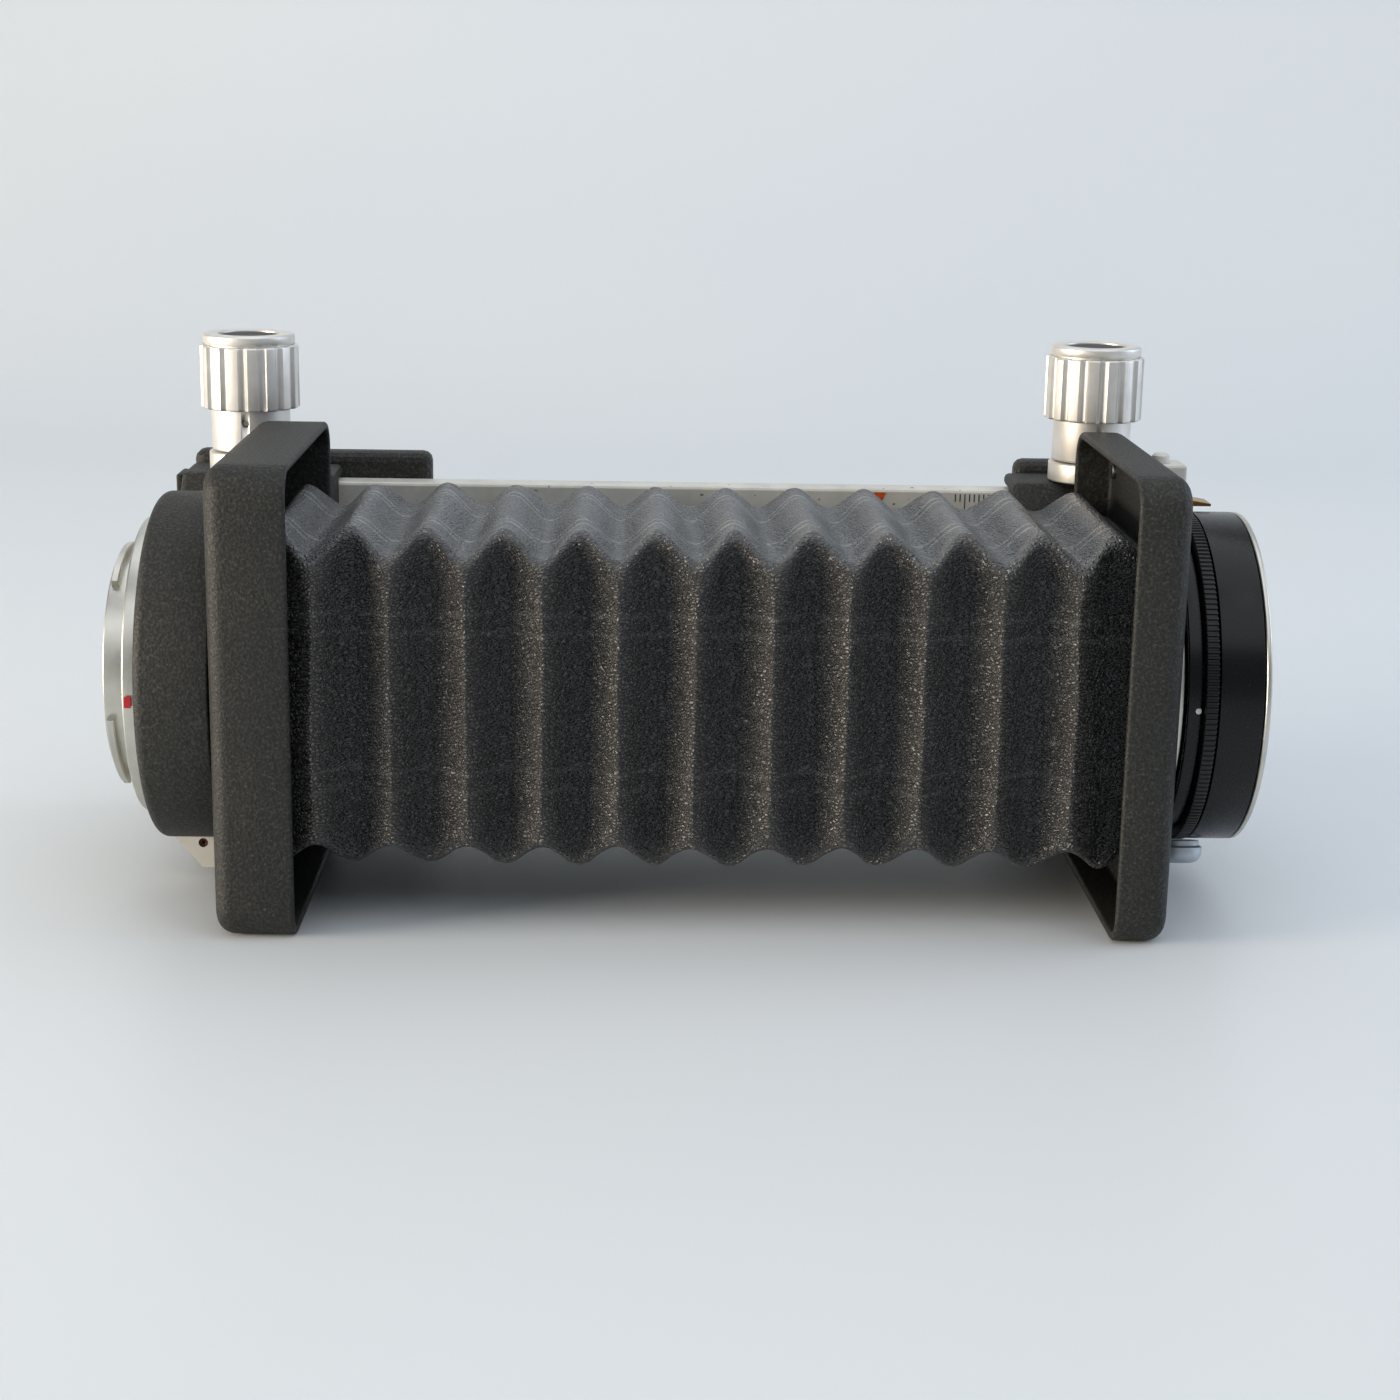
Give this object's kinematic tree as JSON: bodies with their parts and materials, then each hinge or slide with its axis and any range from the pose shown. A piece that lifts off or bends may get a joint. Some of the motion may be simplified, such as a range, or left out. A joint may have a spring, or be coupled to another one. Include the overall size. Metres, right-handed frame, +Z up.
{
  "type": "bellows focusing attachment",
  "caption": "Rail-mounted bellows extension for a reflex camera, lying on its side, with geared focus knobs, turning camera mount and a short lens ring.",
  "frame": {"origin": "centre of the object's footprint, level with the sides of the two standards that it lies on", "axes": "+X along the optical axis from the camera end to the lens end, +Y from the bellows to the rail, +Z up toward the focus knobs"},
  "size_m": [0.2158, 0.1002, 0.104],
  "materials": {
    "crinkle": "crinkle",
    "leather": "grained",
    "satin": "satin",
    "chrome": "polished",
    "black": "black anodised",
    "steel": "machined",
    "brass": "machined",
    "red": "gloss"
  },
  "bodies": {
    "rail": {"rail_plate": "satin", "rail_rack": "steel", "rail_stop_rear": "satin", "rail_stop_front": "satin", "tripod_foot": "crinkle", "tripod_bush": "steel", "bellows_rear_half": "leather", "bellows_front_half": "leather"},
    "rear_standard": {"rear_standard": "crinkle", "rear_carriage_saddle": "crinkle", "rear_carriage_plate": "crinkle", "rear_knob_bearing": "satin", "bellows_rear_plate": "black", "lock_lever_pivot": "steel", "lock_lever_bracket": "black"},
    "rear_knob": {"rear_focus_knob": "satin", "rear_knob_cap": "black", "rear_pinion_shaft": "steel", "rear_knob_set_screw": "steel"},
    "rear_clamp": {"rear_clamp_knob": "satin"},
    "camera_mount": {"camera_mount_drum": "crinkle", "drum_retaining_ring": "steel", "camera_flange": "chrome", "camera_bayonet": "chrome", "camera_index_mark": "red"},
    "lock_lever": {"format_lock_lever": "satin"},
    "front_standard": {"front_standard": "crinkle", "front_carriage_saddle": "crinkle", "front_carriage_plate": "crinkle", "front_knob_bearing": "satin", "bellows_front_plate": "black", "lens_flange": "chrome", "lens_throat_ring": "black", "lens_release_housing": "satin", "lens_lock_tongue": "brass"},
    "front_knob": {"front_focus_knob": "satin", "front_knob_cap": "black", "front_pinion_shaft": "steel", "front_knob_set_screw": "steel"},
    "front_clamp": {"front_clamp_knob": "satin"},
    "lens_button": {"lens_release_button": "satin"},
    "extension_ring": {"ring_collar": "black", "ring_grip": "black", "ring_barrel": "black", "ring_front_mount": "chrome", "ring_rear_bayonet": "chrome", "release_socket": "satin"},
    "plunger": {"release_plunger": "brass"}
  },
  "joints": [
    {"name": "rear_focus_slide", "type": "slide", "parent": "rail", "child": "rear_standard", "axis": [1, 0, 0], "range_m": [0, 0.048], "deforming": ["bellows_rear_half"]},
    {"name": "front_focus_slide", "type": "slide", "parent": "rail", "child": "front_standard", "axis": [1, 0, 0], "range_m": [-0.046, 0], "deforming": ["bellows_front_half"]},
    {"name": "rear_knob_turn", "type": "hinge", "parent": "rear_standard", "child": "rear_knob", "pos_m": [-0.08883, 0.02725, 0.044], "axis": [0, 0, 1], "range_deg": [0, 573.5]},
    {"name": "front_knob_turn", "type": "hinge", "parent": "front_standard", "child": "front_knob", "pos_m": [0.08528, 0.02725, 0.044], "axis": [0, 0, 1], "range_deg": [-549.6, 0]},
    {"name": "rear_clamp_turn", "type": "hinge", "parent": "rear_standard", "child": "rear_clamp", "pos_m": [-0.08883, 0.0414, 0.0096], "axis": [0, 0, 1], "range_deg": [-90, 90]},
    {"name": "front_clamp_turn", "type": "hinge", "parent": "front_standard", "child": "front_clamp", "pos_m": [0.08528, 0.0414, 0.0096], "axis": [0, 0, 1], "range_deg": [-90, 90]},
    {"name": "format_turn", "type": "hinge", "parent": "rear_standard", "child": "camera_mount", "pos_m": [-0.10032, -0.01365, 0.044], "axis": [1, 0, 0], "range_deg": [0, 90]},
    {"name": "lock_lever_swing", "type": "hinge", "parent": "rear_standard", "child": "lock_lever", "pos_m": [-0.09388, -0.01365, 0.00815], "axis": [0, 1, 0], "range_deg": [-12, 0], "stiffness_Nm_per_rad": 0.01, "springref_deg": 5.73},
    {"name": "ring_bayonet_turn", "type": "hinge", "parent": "front_standard", "child": "extension_ring", "pos_m": [0.09267, -0.01365, 0.044], "axis": [1, 0, 0], "range_deg": [-60, 0]},
    {"name": "lens_release_press", "type": "slide", "parent": "front_standard", "child": "lens_button", "axis": [0, 0, -1], "range_m": [0, 0.0012], "stiffness_N_per_m": 300, "springref_m": -0.002},
    {"name": "plunger_press", "type": "slide", "parent": "extension_ring", "child": "plunger", "axis": [0, 0.2419, 0.9703], "range_m": [0, 0.0012], "stiffness_N_per_m": 300, "springref_m": -0.002}
  ],
  "couplings": [
    {"joint": "rear_knob_turn", "follows": "rear_focus_slide", "rad_per_m": 208.33},
    {"joint": "front_knob_turn", "follows": "front_focus_slide", "rad_per_m": 208.33}
  ]
}
